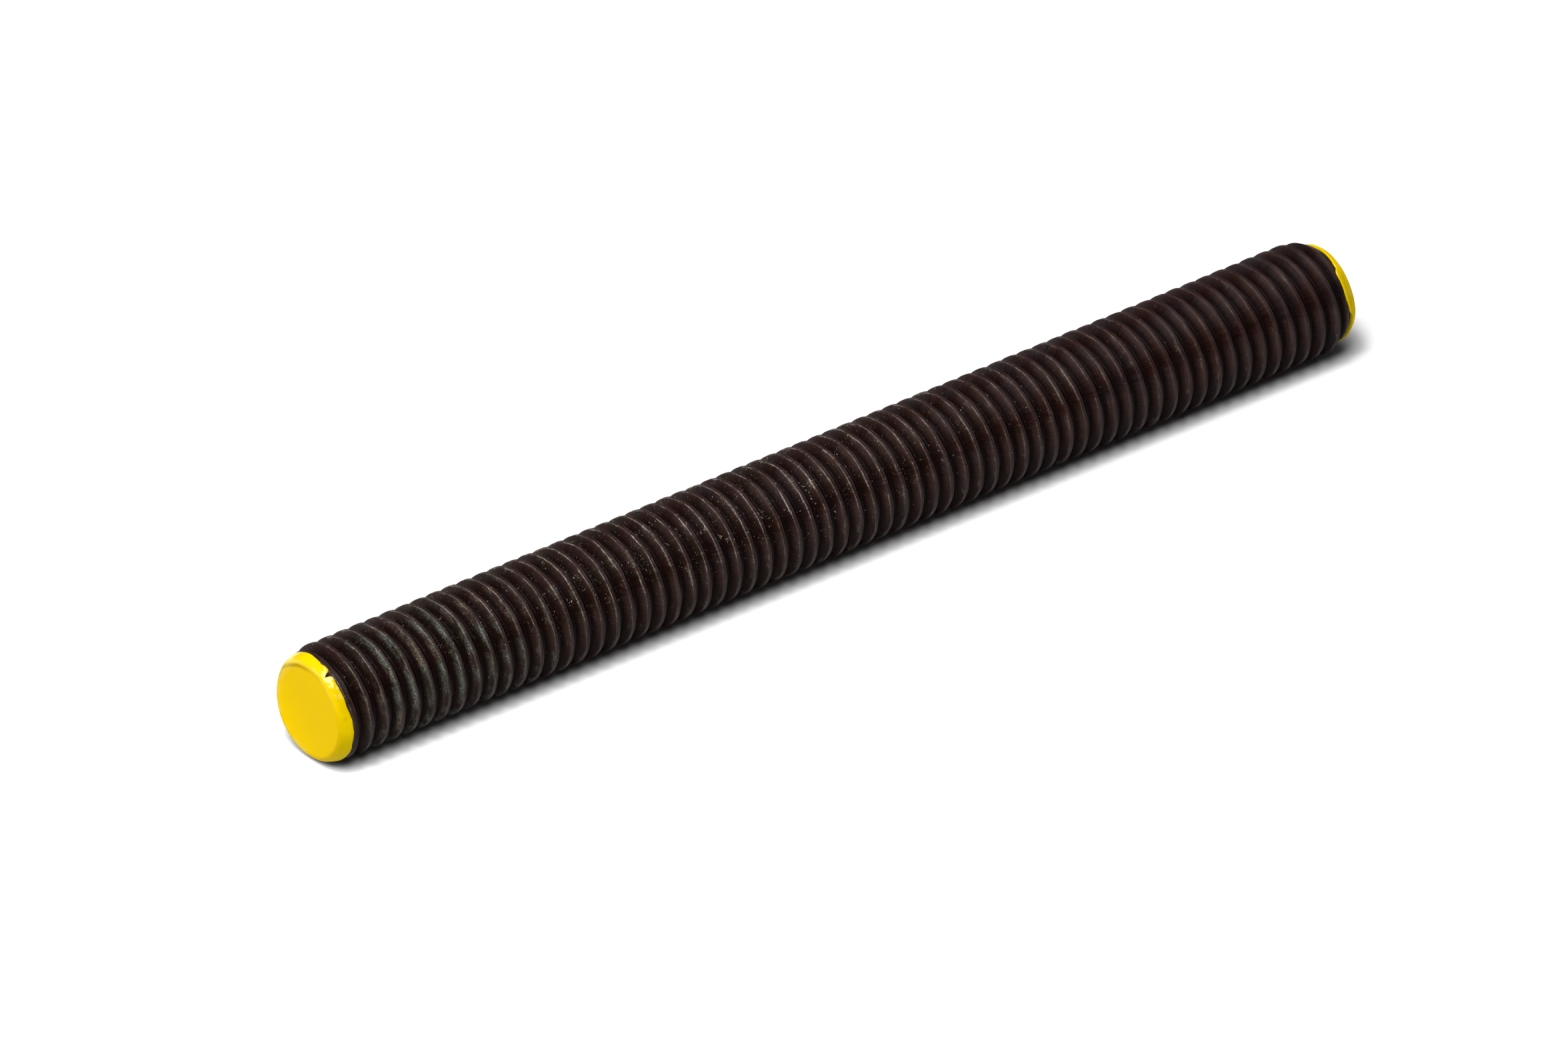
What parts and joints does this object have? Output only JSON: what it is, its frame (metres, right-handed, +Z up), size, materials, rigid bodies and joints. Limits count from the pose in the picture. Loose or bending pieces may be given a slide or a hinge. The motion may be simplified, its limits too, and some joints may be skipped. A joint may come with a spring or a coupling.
{
  "type": "threaded rod",
  "caption": "Straight steel rod with a metric right-hand thread from end to end and paint over both end faces, for clamping parts together with nuts.",
  "frame": {"origin": "under the middle of the rod, on the surface that it lies on", "axes": "+X along the rod's axis, from the near end to the far end; +Z up, square to the surface that the rod lies on"},
  "size_m": [0.084, 0.0078, 0.0078],
  "materials": {
    "black_steel": "black oxide, dull satin",
    "yellow_paint": "thick gloss paint"
  },
  "bodies": {
    "root": {"threaded_rod": "black_steel", "near_end_paint": "yellow_paint", "far_end_paint": "yellow_paint"}
  },
  "joints": []
}
